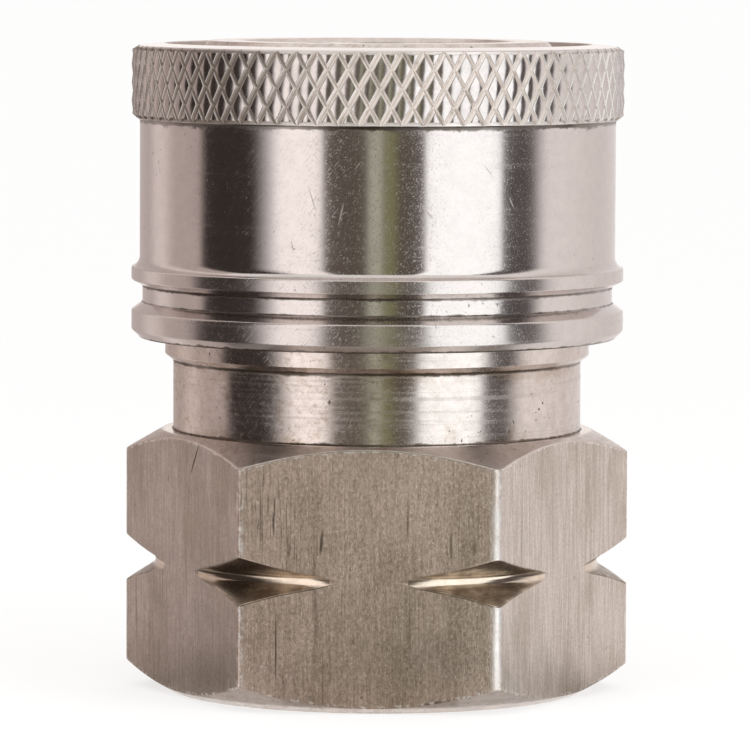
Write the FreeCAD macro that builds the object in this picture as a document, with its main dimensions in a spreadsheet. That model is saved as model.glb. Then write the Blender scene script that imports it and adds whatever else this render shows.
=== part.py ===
"""Quick coupling socket with a ball lock, female thread and knurled locking sleeve."""
import FreeCAD, Part
import os
import re

import Sketcher

# Driving dimensions in millimetres and degrees, by piece. Z is the axis, with zero at the hexagon's end face.
SIZES = {
    # body: hexagon
    "hex_flats": 24.0,
    "hex_height": 14.3,
    "hex_corner_round": 0.4,
    "hex_chamfer_angle": 30.0,
    "hex_bottom_land_inset": 0.6,
    "hex_top_land_inset": 0.25,
    "mark_root_above_flat": 0.15,
    "mark_height": 7.1,
    "mark_half_angle": 35.0,
    # body: neck, collar, barrel and nose
    "neck_height": 4.15,
    "collar_step": 0.45,
    "collar_undercut": 0.35,
    "collar_height": 1.75,
    "barrel_wall": 2.47,
    "nose_proud": 0.15,
    "nose_chamfer": 0.25,
    "nose_lip": 0.65,
    # body: bores, from the threaded end to the mouth
    "thread_r": 7.475,
    "thread_depth": 12.0,
    "thread_mouth_chamfer": 1.1,
    "drill_point_angle": 30.0,
    "waterway_r": 5.0,
    "waterway_length": 1.4,
    "bore_r": 7.03,
    "seal_set_back": 1.4,
    "seal_groove_depth": 1.92,
    "seal_side_room": 0.68,
    "guide_step": 0.22,
    "guide_below_balls": 2.6,
    "mouth_chamfer": 0.25,
    # seal
    "seal_section_r": 1.31,
    "seal_clearance": 0.14,
    "seal_seat_gap": 0.05,
    # balls
    "ball_count": 8,
    "ball_r": 1.75,
    "ball_travel": 1.15,
    "ball_depth": 6.0,
    "ball_hole_clearance": 0.05,
    # retaining ring
    "ring_thickness": 1.0,
    "ring_width": 2.45,
    "ring_groove_depth": 0.6,
    "ring_play": 0.05,
    "ring_side_clearance": 0.25,
    "ring_gap_angle": 16.0,
    # spring
    "spring_room": 2.15,
    "wire_r": 0.425,
    "wire_sides": 12,
    "spring_turns": 3.25,
    # sleeve: inside
    "sleeve_overlap": 0.85,
    "sleeve_length": 16.1,
    "slide_clearance": 0.1,
    "land_clearance": 0.25,
    "land_lead": 0.4,
    "land_length": 2.1,
    # sleeve: outside, from the lower ridge to the front
    "sleeve_wall": 1.15,
    "ridge_rise": 0.6,
    "ridge_bottom_chamfer": 0.45,
    "lower_ridge_height": 1.5,
    "lower_ridge_flank": 0.45,
    "groove_height": 0.9,
    "upper_ridge_flank": 0.33,
    "upper_ridge_height": 0.69,
    "cove_r": 0.6,
    "barrel_rise": 0.15,
    "front_rise": 0.13,
    # knurl
    "knurl_count": 74,
    "knurl_height": 3.47,
    "knurl_angle": 30.0,
    "knurl_depth": 0.3,
    "knurl_groove_width": 0.4,
    "knurl_bottom_chamfer": 0.33,
    "knurl_top_chamfer": 0.25,
    "knurl_ledge": 0.05,
    # how far a cutting tool reaches past the face that it cuts
    "tool_reach": 1.0,
}

# Sizes that follow from the driving ones.
DERIVED = {
    "hex_corner_r": "hex_flats / sqrt(3)",
    "hex_tool_r": "hex_corner_r + tool_reach",
    "hex_bottom_land_r": "hex_flats / 2 - hex_bottom_land_inset",
    "hex_top_land_r": "hex_flats / 2 - hex_top_land_inset",
    "mark_root_r": "hex_flats / 2 + mark_root_above_flat",
    "mark_half_width": "(hex_tool_r - mark_root_r) * tan(mark_half_angle)",
    "barrel_r": "bore_r + barrel_wall",
    "collar_r": "barrel_r + spring_room",
    "neck_r": "collar_r - collar_step",
    "collar_z": "hex_height + neck_height",
    "collar_top": "collar_z + collar_height",
    "sleeve_z": "collar_top - sleeve_overlap",
    "sleeve_front": "sleeve_z + sleeve_length",
    "nose_z": "sleeve_front + nose_proud",
    "ring_groove_r": "barrel_r - ring_groove_depth",
    "ring_groove_top": "nose_z - nose_lip",
    "ring_top": "ring_groove_top - ring_play",
    "ring_bottom": "ring_top - ring_thickness",
    "ring_groove_bottom": "ring_bottom - ring_play",
    "ring_inner_r": "ring_groove_r + ring_play",
    "ring_outer_r": "ring_inner_r + ring_width",
    "thread_mouth_r": "thread_r + thread_mouth_chamfer",
    "drill_point_z": "thread_depth + (thread_r - waterway_r) * tan(drill_point_angle)",
    "plug_stop_z": "drill_point_z + waterway_length",
    "seal_groove_z": "plug_stop_z + seal_set_back",
    "seal_groove_top": "seal_groove_z + 2 * seal_section_r + seal_side_room",
    "seal_groove_r": "bore_r + seal_groove_depth",
    "seal_mean_r": "seal_groove_r - seal_section_r - seal_clearance",
    "seal_centre_z": "seal_groove_z + seal_section_r + seal_seat_gap",
    "guide_r": "bore_r + guide_step",
    "guide_z": "ball_z - guide_below_balls",
    "mouth_r": "guide_r + mouth_chamfer",
    "ball_z": "nose_z - ball_depth",
    "ball_centre_r": "barrel_r - ball_r",
    "ball_hole_r": "ball_r + ball_hole_clearance",
    "land_r": "barrel_r + land_clearance",
    "land_top": "ball_z + land_lead",
    "recess_r": "land_r + ball_travel",
    "recess_z": "land_top + ball_travel",
    "front_r": "ring_outer_r + ring_side_clearance",
    "shoulder_z": "ring_bottom - ring_play",
    "chamber_r": "collar_r + slide_clearance",
    "chamber_top": "land_top - land_length",
    "spring_mean_r": "(barrel_r + chamber_r) / 2",
    "groove_r": "chamber_r + sleeve_wall",
    "ridge_r": "groove_r + ridge_rise",
    "grip_r": "groove_r + barrel_rise",
    "lower_ridge_top": "sleeve_z + lower_ridge_height",
    "groove_z": "lower_ridge_top + lower_ridge_flank",
    "groove_top": "groove_z + groove_height",
    "upper_ridge_z": "groove_top + upper_ridge_flank",
    "upper_ridge_top": "upper_ridge_z + upper_ridge_height",
    "cove_side": "cove_r + grip_r - ridge_r",
    "cove_top": "upper_ridge_top + sqrt(cove_r * cove_r - cove_side * cove_side)",
    "knurl_r": "ridge_r",
    "knurl_tool_r": "knurl_r + tool_reach",
    "knurl_end": "sleeve_front - front_rise",
    "knurl_top": "knurl_end - knurl_top_chamfer",
    "knurl_z": "knurl_top - knurl_height",
    "knurl_start": "knurl_z - knurl_bottom_chamfer",
    "knurl_middle": "(knurl_start + knurl_end) / 2",
    "knurl_blank_r": "knurl_r / cos(180 / knurl_count) + knurl_ledge",
    "knurl_root_r": "knurl_r - knurl_depth",
    "knurl_foot_r": "grip_r + knurl_ledge",
    "knurl_tool_half": "knurl_groove_width / 2 * (knurl_depth + tool_reach) / knurl_depth",
    "front_edge_r": "grip_r - knurl_ledge",
}


def expression(text):
    """The text with each size's name written out for the sheet."""

    def written(match):
        word = match.group(0)
        if word in SIZES:
            return f"Sizes.{word}"
        return f"({expression(DERIVED[word])})" if word in DERIVED else word

    return re.sub(r"[a-z_]+", written, text)


def bind(item, prop, text):
    item.setExpression(prop, expression(text))


def make_sheet(doc):
    sheet = doc.addObject("Spreadsheet::Sheet", "Sizes")
    for row, (alias, size) in enumerate(SIZES.items(), start=1):
        sheet.set(f"A{row}", alias)
        sheet.set(f"B{row}", str(size))
        sheet.setAlias(f"B{row}", alias)
    doc.recompute()


def origin_feature(body, role):
    return next(item for item in body.Origin.OriginFeatures if item.Role == role)


def make_body(doc, label):
    body = doc.addObject("PartDesign::Body", label)
    body.Label = label
    return body


def make_sketch(body, name, plane):
    sketch = body.newObject("Sketcher::SketchObject", name)
    sketch.AttachmentSupport = [(origin_feature(body, plane), "")]
    sketch.MapMode = "FlatFace"
    return sketch


def add_outline(sketch, corners, arcs=()):
    """A closed outline through the corners, each a pair of expressions. arcs maps a corner's number to the
    radius and the centre of the arc that leaves it, also as expressions."""

    def value(text):
        return float(sketch.evalExpression(expression(text)))

    arcs = dict(arcs)
    places = [FreeCAD.Vector(value(x), value(y), 0) for x, y in corners]
    first = sketch.GeometryCount
    turned = set()
    for number, start in enumerate(places):
        end = places[(number + 1) % len(places)]
        if number in arcs:
            radius, centre_x, centre_y = arcs[number]
            centre = FreeCAD.Vector(value(centre_x), value(centre_y), 0)
            middle = centre + ((start + end) * 0.5 - centre).normalize() * value(radius)
            if (middle - start).cross(end - middle).z < 0:
                turned.add(first + number)
                start, end = end, start
            sketch.addGeometry(Part.Arc(start, middle, end), False)
        else:
            sketch.addGeometry(Part.LineSegment(start, end), False)
    constraints, expressions = [], []

    def start_of(item):
        return 2 if item in turned else 1

    for number, (x, y) in enumerate(corners):
        item = first + number
        after = first + (number + 1) % len(corners)
        constraints.append(
            Sketcher.Constraint("Coincident", item, 3 - start_of(item), after, start_of(after))
        )
        expressions.append(None)
        for kind, axis, text in (("DistanceX", -2, x), ("DistanceY", -1, y)):
            if text == "0":
                constraints.append(Sketcher.Constraint("PointOnObject", item, start_of(item), axis))
                expressions.append(None)
            else:
                constraints.append(
                    Sketcher.Constraint(kind, -1, 1, item, start_of(item), value(text))
                )
                expressions.append(text)
        if number in arcs:
            constraints.append(Sketcher.Constraint("Radius", item, value(arcs[number][0])))
            expressions.append(arcs[number][0])
    offset = sketch.ConstraintCount
    sketch.addConstraint(constraints)
    for number, text in enumerate(expressions):
        if text is not None:
            bind(sketch, f"Constraints[{offset + number}]", text)


def turn(body, name, corners, kind="PartDesign::Revolution", arcs=()):
    """Turns an outline of radius and height pairs about Z, adding or cutting."""
    sketch = make_sketch(body, f"{name}_outline", "XZ_Plane")
    add_outline(sketch, corners, arcs)
    feature = body.newObject(kind, name)
    feature.Profile = sketch
    feature.ReferenceAxis = (sketch, ["V_Axis"])
    feature.Angle = 360
    sketch.Visibility = False
    return feature


def cut_turned(body, name, corners):
    return turn(body, name, corners, "PartDesign::Groove")


def repeat_round(body, name, feature, count):
    pattern = body.newObject("PartDesign::PolarPattern", name)
    pattern.Originals = [feature]
    pattern.Axis = (origin_feature(body, "Z_Axis"), [""])
    pattern.Angle = 360
    bind(pattern, "Occurrences", count)
    body.Tip = pattern
    return pattern


def make_hexagon(doc, body):
    sketch = make_sketch(body, "hexagon_outline", "XY_Plane")
    corners = [
        (f"hex_corner_r * cos({60 * corner})", f"hex_corner_r * sin({60 * corner})" if corner % 3 else "0")
        for corner in range(6)
    ]
    add_outline(sketch, corners)
    hexagon = body.newObject("PartDesign::Pad", "hexagon")
    hexagon.Profile = sketch
    bind(hexagon, "Length", "hex_height")
    doc.recompute()
    upright = [
        f"Edge{number}"
        for number, edge in enumerate(hexagon.Shape.Edges, start=1)
        if abs(edge.BoundBox.ZLength - edge.Length) < 1e-6
    ]
    rounded = body.newObject("PartDesign::Fillet", "hexagon_corners")
    rounded.Base = (hexagon, upright)
    bind(rounded, "Radius", "hex_corner_round")
    chamfer_rise = "(hex_tool_r - {0}) * tan(hex_chamfer_angle)"
    bottom_rise = chamfer_rise.format("hex_bottom_land_r")
    cut_turned(
        body,
        "hexagon_bottom_chamfer",
        [("hex_bottom_land_r", "0"), ("hex_tool_r", "0"), ("hex_tool_r", bottom_rise)],
    )
    top_rise = chamfer_rise.format("hex_top_land_r")
    cut_turned(
        body,
        "hexagon_top_chamfer",
        [
            ("hex_top_land_r", "hex_height"),
            ("hex_tool_r", "hex_height"),
            ("hex_tool_r", f"hex_height - {top_rise}"),
        ],
    )
    cut_turned(
        body,
        "marking_groove",
        [
            ("mark_root_r", "mark_height"),
            ("hex_tool_r", "mark_height - mark_half_width"),
            ("hex_tool_r", "mark_height + mark_half_width"),
        ],
    )


def make_ball_holes(body):
    """Radial holes whose inner ends are round seats that stop the balls from falling into the bore."""
    sketch = make_sketch(body, "ball_hole_outline", "XZ_Plane")
    bind(sketch, "AttachmentOffset.Base.y", "ball_z")
    add_outline(
        sketch,
        [
            ("ball_centre_r - ball_hole_r", "0"),
            ("ball_centre_r", "ball_hole_r"),
            ("barrel_r + tool_reach", "ball_hole_r"),
            ("barrel_r + tool_reach", "0"),
        ],
        {0: ("ball_hole_r", "ball_centre_r", "0")},
    )
    hole = body.newObject("PartDesign::Groove", "ball_hole")
    hole.Profile = sketch
    hole.ReferenceAxis = (sketch, ["H_Axis"])
    hole.Angle = 360
    repeat_round(body, "ball_holes", hole, "ball_count")


def make_socket_body(doc):
    body = make_body(doc, "socket_body")
    make_hexagon(doc, body)
    turn(
        body,
        "neck_and_barrel",
        [
            ("0", "hex_height / 2"),
            ("neck_r", "hex_height / 2"),
            ("neck_r", "collar_z - collar_undercut"),
            ("collar_r", "collar_z"),
            ("collar_r", "collar_top"),
            ("barrel_r", "collar_top"),
            ("barrel_r", "ring_groove_bottom"),
            ("ring_groove_r", "ring_groove_bottom"),
            ("ring_groove_r", "ring_groove_top"),
            ("barrel_r", "ring_groove_top"),
            ("barrel_r", "nose_z - nose_chamfer"),
            ("barrel_r - nose_chamfer", "nose_z"),
            ("0", "nose_z"),
        ],
    )
    cut_turned(
        body,
        "bores",
        [
            ("0", "-tool_reach"),
            ("thread_mouth_r", "-tool_reach"),
            ("thread_mouth_r", "0"),
            ("thread_r", "thread_mouth_chamfer"),
            ("thread_r", "thread_depth"),
            ("waterway_r", "drill_point_z"),
            ("waterway_r", "plug_stop_z"),
            ("bore_r", "plug_stop_z"),
            ("bore_r", "seal_groove_z"),
            ("seal_groove_r", "seal_groove_z"),
            ("seal_groove_r", "seal_groove_top"),
            ("bore_r", "seal_groove_top"),
            ("bore_r", "guide_z"),
            ("guide_r", "guide_z"),
            ("guide_r", "nose_z - mouth_chamfer"),
            ("mouth_r", "nose_z"),
            ("mouth_r", "nose_z + tool_reach"),
            ("0", "nose_z + tool_reach"),
        ],
    )
    make_ball_holes(body)
    return body


def make_knurl(body):
    """Diamond knurl on the front band: a flat for each column of diamonds, then V grooves of both hands."""
    flat_sketch = make_sketch(body, "knurl_flat_outline", "XZ_Plane")
    add_outline(
        flat_sketch,
        [
            ("knurl_foot_r", "knurl_start"),
            ("knurl_tool_r", "knurl_start"),
            ("knurl_tool_r", "knurl_end"),
            ("grip_r", "knurl_end"),
            ("knurl_r", "knurl_top"),
            ("knurl_r", "knurl_z"),
        ],
    )
    flat = body.newObject("PartDesign::Pocket", "knurl_flat")
    flat.Profile = flat_sketch
    flat.SideType = "Symmetric"
    bind(flat, "Length", "4 * knurl_tool_r * tan(180 / knurl_count)")
    repeat_round(body, "knurl_flats", flat, "knurl_count")
    for hand, sign in (("right", 1), ("left", -1)):
        sketch = make_sketch(body, f"knurl_{hand}_outline", "XY_Plane")
        bind(sketch, "AttachmentOffset.Base.z", "knurl_middle")
        add_outline(
            sketch,
            [
                ("knurl_root_r", "0"),
                ("knurl_tool_r", "-knurl_tool_half"),
                ("knurl_tool_r", "knurl_tool_half"),
            ],
        )
        groove = body.newObject("PartDesign::Pocket", f"knurl_{hand}")
        groove.Profile = sketch
        groove.SideType = "Symmetric"
        groove.UseCustomVector = True
        groove.AlongSketchNormal = True
        bind(groove, "Direction.x", "0")
        bind(groove, "Direction.y", f"{sign} * sin(knurl_angle)")
        bind(groove, "Direction.z", "cos(knurl_angle)")
        bind(groove, "Length", "knurl_end - knurl_start + tool_reach")
        repeat_round(body, f"knurl_{hand}_grooves", groove, "knurl_count")


def make_locking_sleeve(doc):
    body = make_body(doc, "locking_sleeve")
    corners = [
        ("chamber_r", "sleeve_z"),
        ("ridge_r - ridge_bottom_chamfer", "sleeve_z"),
        ("ridge_r", "sleeve_z + ridge_bottom_chamfer"),
        ("ridge_r", "lower_ridge_top"),
        ("groove_r", "groove_z"),
        ("groove_r", "groove_top"),
        ("ridge_r", "upper_ridge_z"),
        ("ridge_r", "upper_ridge_top"),
        ("grip_r", "cove_top"),
        ("grip_r", "knurl_start"),
        ("knurl_blank_r", "knurl_start"),
        ("knurl_blank_r", "knurl_end"),
        ("front_edge_r", "knurl_end"),
        ("front_r", "sleeve_front"),
        ("front_r", "shoulder_z"),
        ("recess_r", "shoulder_z"),
        ("recess_r", "recess_z"),
        ("land_r", "land_top"),
        ("land_r", "chamber_top"),
        ("chamber_r", "chamber_top"),
    ]
    cove = corners.index(("ridge_r", "upper_ridge_top"))
    turn(body, "turned_blank", corners, arcs={cove: ("cove_r", "grip_r + cove_r", "cove_top")})
    make_knurl(body)
    return body


def make_retaining_ring(doc):
    body = make_body(doc, "retaining_ring")
    ring = turn(
        body,
        "flat_ring",
        [
            ("ring_inner_r", "ring_bottom"),
            ("ring_outer_r", "ring_bottom"),
            ("ring_outer_r", "ring_top"),
            ("ring_inner_r", "ring_top"),
        ],
    )
    bind(ring, "Angle", "360 - ring_gap_angle")
    return body


def make_seal_ring(doc):
    seal = doc.addObject("Part::Torus", "seal_ring")
    bind(seal, "Radius1", "seal_mean_r")
    bind(seal, "Radius2", "seal_section_r")
    bind(seal, "Placement.Base.z", "seal_centre_z")
    return seal


def make_sleeve_spring(doc):
    """A compression spring between the collar and the sleeve. Its round wire has a many-sided section."""
    coil = doc.addObject("Part::Helix", "spring_path")
    bind(coil, "Radius", "spring_mean_r")
    bind(coil, "Height", "chamber_top - collar_top - 2 * wire_r")
    bind(coil, "Pitch", "(chamber_top - collar_top - 2 * wire_r) / spring_turns")
    bind(coil, "Placement.Base.z", "collar_top + wire_r")
    section = doc.addObject("Part::RegularPolygon", "spring_section")
    bind(section, "Polygon", "wire_sides")
    bind(section, "Circumradius", "wire_r")
    section.Placement.Rotation = FreeCAD.Rotation(FreeCAD.Vector(1, 0, 0), 90)
    bind(section, "Placement.Base.x", "spring_mean_r")
    bind(section, "Placement.Base.z", "collar_top + wire_r")
    doc.recompute()
    spring = doc.addObject("Part::Sweep", "sleeve_spring")
    spring.Sections = [section]
    spring.Spine = (coil, [f"Edge{number + 1}" for number in range(len(coil.Shape.Edges))])
    spring.Solid = True
    spring.Frenet = True
    return spring


def make_locking_balls(doc):
    balls = []
    for number in range(SIZES["ball_count"]):
        ball = doc.addObject("Part::Sphere", f"locking_ball_{number + 1}")
        turned = f"{number} * 360 / ball_count"
        bind(ball, "Radius", "ball_r")
        bind(ball, "Placement.Base.x", f"ball_centre_r * cos({turned})")
        bind(ball, "Placement.Base.y", f"ball_centre_r * sin({turned})")
        bind(ball, "Placement.Base.z", "ball_z")
        balls.append(ball)
    return balls


def write_parts(doc, parts):
    doc.recompute()
    for item in doc.Objects:
        if "Invalid" in item.State or "Error" in item.State:
            raise RuntimeError(f"{item.Name} did not compute")
    os.makedirs("parts", exist_ok=True)
    for part in parts:
        if part.Shape.isNull() or not part.Shape.isValid() or len(part.Shape.Solids) != 1:
            raise RuntimeError(f"{part.Label} is not one valid solid")
        part.Shape.exportStep(f"parts/{part.Label}.step")


def main():
    doc = FreeCAD.newDocument("quick_coupling_socket")
    make_sheet(doc)
    parts = [
        make_socket_body(doc),
        make_locking_sleeve(doc),
        make_retaining_ring(doc),
        make_seal_ring(doc),
        make_sleeve_spring(doc),
    ]
    parts += make_locking_balls(doc)
    write_parts(doc, parts)


main()
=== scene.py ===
"""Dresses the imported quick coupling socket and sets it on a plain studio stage."""
import math
from functools import cached_property

import bmesh
import bpy
from bpy.props import FloatProperty, FloatVectorProperty, IntProperty, PointerProperty
from mathutils import Matrix, Vector


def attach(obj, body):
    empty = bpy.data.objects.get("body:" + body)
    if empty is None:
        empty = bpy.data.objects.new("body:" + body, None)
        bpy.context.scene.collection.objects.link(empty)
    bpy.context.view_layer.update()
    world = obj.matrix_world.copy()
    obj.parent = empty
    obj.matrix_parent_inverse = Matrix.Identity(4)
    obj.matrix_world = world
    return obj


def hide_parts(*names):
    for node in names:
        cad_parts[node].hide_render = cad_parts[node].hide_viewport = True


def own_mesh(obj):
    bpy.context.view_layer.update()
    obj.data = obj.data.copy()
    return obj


bl_info = {
    "name": "Quick coupling socket",
    "version": (1, 0, 0),
    "blender": (4, 5, 0),
    "location": "View3D > Sidebar > Coupling",
    "description": "Builds the turned, knurled and threaded pieces of a quick coupling socket "
    "on its frame",
    "category": "Object",
}

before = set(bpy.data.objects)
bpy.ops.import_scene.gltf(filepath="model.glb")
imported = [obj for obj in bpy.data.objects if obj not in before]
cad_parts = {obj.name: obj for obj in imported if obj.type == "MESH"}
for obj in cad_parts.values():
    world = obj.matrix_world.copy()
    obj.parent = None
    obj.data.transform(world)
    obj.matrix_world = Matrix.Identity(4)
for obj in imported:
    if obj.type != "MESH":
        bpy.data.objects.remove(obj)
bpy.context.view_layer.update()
MM = 0.001


def length(name, description, millimetres):
    return FloatProperty(
        name=name,
        description=description,
        default=millimetres * MM,
        min=0.0,
        precision=5,
        unit="LENGTH",
    )


def angle(name, description, degrees):
    return FloatProperty(
        name=name, description=description, default=math.radians(degrees), subtype="ANGLE"
    )


def colour(name, description, rgb):
    return FloatVectorProperty(
        name=name, description=description, default=rgb, size=3, min=0.0, max=1.0, subtype="COLOR"
    )


class BodySizes(bpy.types.PropertyGroup):
    """Sizes of the one-piece body with its hexagon, neck, barrel and bores"""

    hex_flats: length("Hexagon flats", "Width across the hexagon's flats", 24.0)
    hex_height: length("Hexagon height", "Length of the hexagon", 14.3)
    corner_round: length("Corner round", "Radius along the hexagon's corners", 0.4)
    bottom_land: length("Bottom land", "Radius where the lower chamfer starts", 11.4)
    top_land: length("Top land", "Radius where the upper chamfer starts", 11.75)
    chamfer_angle: angle("Chamfer angle", "Slope of the hexagon's end chamfers", 30.0)
    mark_height: length("Mark height", "Height of the marking groove", 7.1)
    mark_root: length("Mark root", "Radius at the root of the marking groove", 12.15)
    mark_round: length("Mark round", "Radius at the bottom of the marking groove", 0.42)
    mark_angle: angle("Mark angle", "Half the angle of the marking groove", 32.0)
    neck_radius: length("Neck radius", "Radius between the hexagon and the collar", 11.2)
    neck_top: length("Neck top", "Height where the collar's undercut starts", 18.1)
    collar_radius: length("Collar radius", "Radius of the collar that the sleeve runs on", 11.65)
    collar_bottom: length("Collar bottom", "Height of the collar's lower edge", 18.45)
    collar_top: length("Collar top", "Height of the spring's seat", 20.2)
    barrel_radius: length("Barrel radius", "Radius of the barrel inside the sleeve", 9.5)
    nose: length("Nose", "Height of the mouth", 35.6)
    ring_groove_radius: length("Ring groove radius", "Radius at the root of the ring's groove", 8.9)
    ring_groove_bottom: length("Ring groove bottom", "Lower side of the ring's groove", 33.85)
    ring_groove_top: length("Ring groove top", "Upper side of the ring's groove", 34.95)
    guide_radius: length("Guide radius", "Radius of the mouth's guide bore", 7.25)
    guide_bottom: length("Guide bottom", "Height of the guide's step", 27.0)
    bore_radius: length("Bore radius", "Radius of the plug's bore", 7.03)
    seal_groove_radius: length(
        "Seal groove radius", "Radius at the root of the seal's groove", 8.95
    )
    seal_groove_bottom: length("Seal groove bottom", "Lower side of the seal's groove", 16.229)
    seal_groove_top: length("Seal groove top", "Upper side of the seal's groove", 19.529)
    plug_stop: length("Plug stop", "Height of the step that stops the plug", 14.829)
    waterway_radius: length("Waterway radius", "Radius of the narrowest passage", 5.0)
    drill_point: length("Drill point", "Height where the tapping drill's cone ends", 13.429)
    thread_minor: length("Thread crest", "Radius at the crests of the female thread", 7.475)
    thread_major: length("Thread root", "Radius at the roots of the female thread", 8.33)
    thread_pitch: length("Thread pitch", "Distance from one thread to the next", 1.337)
    thread_depth: length("Thread depth", "Length of the tapped hole", 12.0)
    thread_mouth: length("Thread mouth", "Radius of the countersink at the tapped end", 8.575)
    ball_radius: length("Ball hole radius", "Radius of the holes that hold the balls", 1.8)
    ball_centre: length("Ball centre", "Distance of the balls from the axis at rest", 7.75)
    ball_height: length("Ball height", "Height of the ring of balls", 29.6)
    balls: IntProperty(name="Balls", description="Number of locking balls", default=8, min=3)
    edge_break: length("Edge break", "Rounding of the machined edges", 0.07)


class SleeveSizes(bpy.types.PropertyGroup):
    """Sizes of the locking sleeve that slides on the body"""

    bottom: length("Bottom", "Height of the sleeve's lower end", 19.35)
    ridge_radius: length("Ridge radius", "Radius of the two ridges", 13.5)
    bottom_chamfer: length("Bottom chamfer", "Chamfer under the lower ridge", 0.45)
    lower_ridge_top: length("Lower ridge top", "Upper edge of the lower ridge", 20.85)
    groove_radius: length("Groove radius", "Radius between the ridges", 12.9)
    groove_bottom: length("Groove bottom", "Lower edge of the groove", 21.3)
    groove_top: length("Groove top", "Upper edge of the groove", 22.2)
    upper_ridge_bottom: length("Upper ridge bottom", "Lower edge of the upper ridge", 22.53)
    upper_ridge_top: length("Upper ridge top", "Upper edge of the upper ridge", 23.22)
    cove_radius: length("Cove radius", "Radius of the cove above the upper ridge", 0.6)
    barrel_radius: length("Barrel radius", "Radius of the plain barrel", 13.05)
    front: length("Front", "Height of the sleeve's front face", 35.45)
    front_bore: length("Front bore", "Radius of the counterbore around the ring", 11.65)
    shoulder: length("Shoulder", "Height of the step that rests on the ring", 33.85)
    recess_radius: length("Recess radius", "Radius that takes the balls when drawn back", 10.9)
    recess_bottom: length("Recess bottom", "Height where the recess starts", 31.15)
    land_radius: length("Land radius", "Radius of the land that locks the balls", 9.75)
    land_top: length("Land top", "Upper edge of the land", 30.0)
    land_bottom: length("Land bottom", "Lower edge of the land, where the spring ends", 27.9)
    chamber_radius: length("Chamber radius", "Radius of the spring's chamber", 11.75)
    edge_break: length("Edge break", "Rounding of the sleeve's outer edges", 0.08)
    steps: IntProperty(name="Steps", description="Faces around the sleeve", default=288, min=24)


class KnurlSizes(bpy.types.PropertyGroup):
    """Sizes of the diamond knurl on the sleeve's front band"""

    columns: IntProperty(name="Columns", description="Diamonds around the band", default=74, min=12)
    slope: angle("Slope", "Angle of the grooves from the axis", 30.0)
    radius: length("Radius", "Radius over the diamonds", 13.5)
    depth: length("Depth", "Depth of the grooves", 0.30)
    right_width: length(
        "Right groove width", "Width of the right-hand grooves around the band", 0.50
    )
    left_width: length("Left groove width", "Width of the left-hand grooves around the band", 0.34)
    crown: length("Crown", "How far the middle of a diamond stands above its rim", 0.09)
    bottom: length("Bottom", "Lower end of the band", 31.27)
    full_bottom: length("Full bottom", "Height where the lower chamfer ends", 31.6)
    full_top: length("Full top", "Height where the upper chamfer starts", 35.07)
    top: length("Top", "Upper end of the band", 35.32)
    foot: length("Foot", "Radius at the lower end of the band", 13.1)
    edge_break: length("Edge break", "Rounding of the diamonds' edges", 0.035)


class RingSizes(bpy.types.PropertyGroup):
    """Sizes of the retaining ring"""

    inner: length("Inner radius", "Radius inside the ring", 8.95)
    outer: length("Outer radius", "Radius outside the ring", 11.4)
    bottom: length("Bottom", "Lower face of the ring", 33.9)
    top: length("Top", "Upper face of the ring", 34.9)
    gap: angle("Gap", "Angle of the gap between the ring's ends", 16.0)
    edge_break: length("Edge break", "Rounding of the ring's edges", 0.1)


class SpringSizes(bpy.types.PropertyGroup):
    """Sizes of the sleeve's spring"""

    mean_radius: length("Mean radius", "Radius of the coil at the middle of its wire", 10.625)
    wire_radius: length("Wire radius", "Radius of the round wire", 0.425)
    bottom: length("Bottom", "Lower end of the spring", 20.2)
    top: length("Top", "Upper end of the spring", 27.9)
    turns: FloatProperty(name="Turns", description="Turns of the coil", default=3.25, min=1.0)
    travel: length("Travel", "How far the sleeve presses the spring together", 4.0)


class Finishes(bpy.types.PropertyGroup):
    """Colours of the coupling's finishes"""

    polished: colour("Polished steel", "The sleeve's polished steel", (0.67, 0.61, 0.58))
    turned: colour("Turned steel", "The body's turned steel", (0.73, 0.65, 0.60))
    drawn: colour("Drawn steel", "The hexagon's drawn flats", (0.75, 0.655, 0.59))
    # This colour also paints the shade along the creases
    grime_and_shade: colour("Grime", "Old oil and dirt in the creases", (0.065, 0.045, 0.028))
    wire: colour("Spring wire", "The spring's wire", (0.5, 0.48, 0.45))
    ring: colour("Ring steel", "The retaining ring's spring steel", (0.62, 0.58, 0.54))
    ball: colour("Ball steel", "The polished balls", (0.72, 0.70, 0.67))
    rubber: colour("Rubber", "The seal's rubber", (0.02, 0.02, 0.02))


class StageSettings(bpy.types.PropertyGroup):
    """Camera, floor, lamps and screens"""

    distance: length("Camera distance", "From the axis to the camera", 315.0)
    height: length("Camera height", "Height of the camera above the floor", 41.7)
    azimuth: angle("Camera azimuth", "How far the camera stands to the right", 1.85)
    roll: angle("Camera roll", "How far the camera is tipped", 0.25)
    aim: FloatVectorProperty(
        name="Aim",
        description="Point that the camera looks at",
        default=(-0.000105, 0.0, 0.01722),
        size=3,
        precision=5,
        subtype="XYZ",
        unit="LENGTH",
    )
    lens: FloatProperty(
        name="Lens", description="Focal length in millimetres", default=275.6, min=10.0
    )
    screen_radius: length("Screen radius", "Distance of the screens and lamps from the axis", 115.0)
    screen_height: length("Screen height", "Height of the screens and lamps", 160.0)
    card_radius: length("Card radius", "Where the cards that lie on the floor start", 11.9)
    floor_colour: colour("Floor", "The pale floor", (0.8, 0.8, 0.8))


def settings(group):
    return getattr(bpy.context.scene, f"coupling_{group}")


# Mesh helpers


# Faces that meet at a smaller angle than this are shaded as one
SMOOTH_LIMIT = math.cos(math.radians(40.0))
SAME_RING = 0.002 * MM
SAME_POINT = 1e-8
CUT_TOLERANCE = 1e-7


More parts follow.
